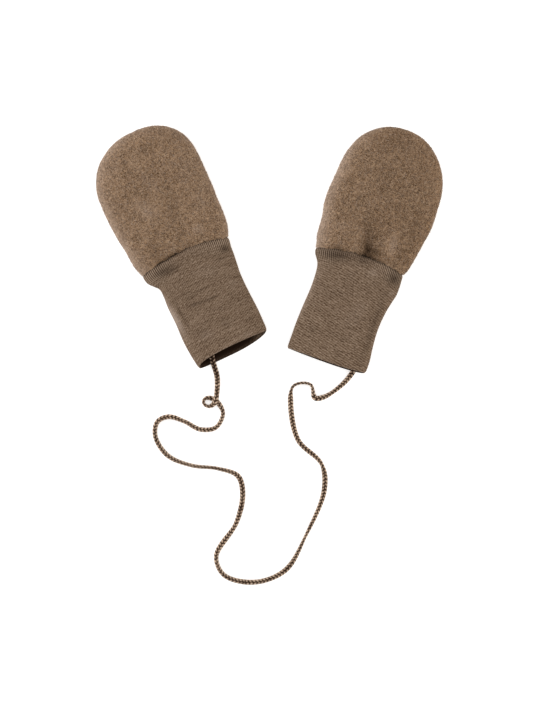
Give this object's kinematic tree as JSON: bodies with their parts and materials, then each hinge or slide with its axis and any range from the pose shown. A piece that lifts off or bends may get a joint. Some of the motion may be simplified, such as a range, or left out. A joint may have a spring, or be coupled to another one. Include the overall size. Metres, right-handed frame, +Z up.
{
  "type": "pair of baby mittens",
  "caption": "Thumbless baby mittens laid flat as a pair: brushed wool fleece hands on long cuffs of fine knit, joined by a knitted cord.",
  "frame": {"origin": "On the surface that the mittens rest on, below the middle of their box, the cord left out", "axes": "+X to the right across the pair as it is seen from above, +Y away towards the tips, +Z up from the surface"},
  "size_m": [0.2286, 0.3021, 0.0132],
  "materials": {
    "fleece": "brushed wool fleece, brown melange with a short soft nap",
    "cuff_knit": "fine wool jersey knit, brown melange, matt",
    "cord_knit": "thin knitted wool tube with a plait of stitches, brown melange, matt"
  },
  "bodies": {
    "root": {"left_top_panel": "fleece", "left_palm_panel": "fleece", "left_cuff": "cuff_knit", "right_top_panel": "fleece", "right_palm_panel": "fleece", "right_cuff": "cuff_knit", "cord": "cord_knit"}
  },
  "joints": []
}
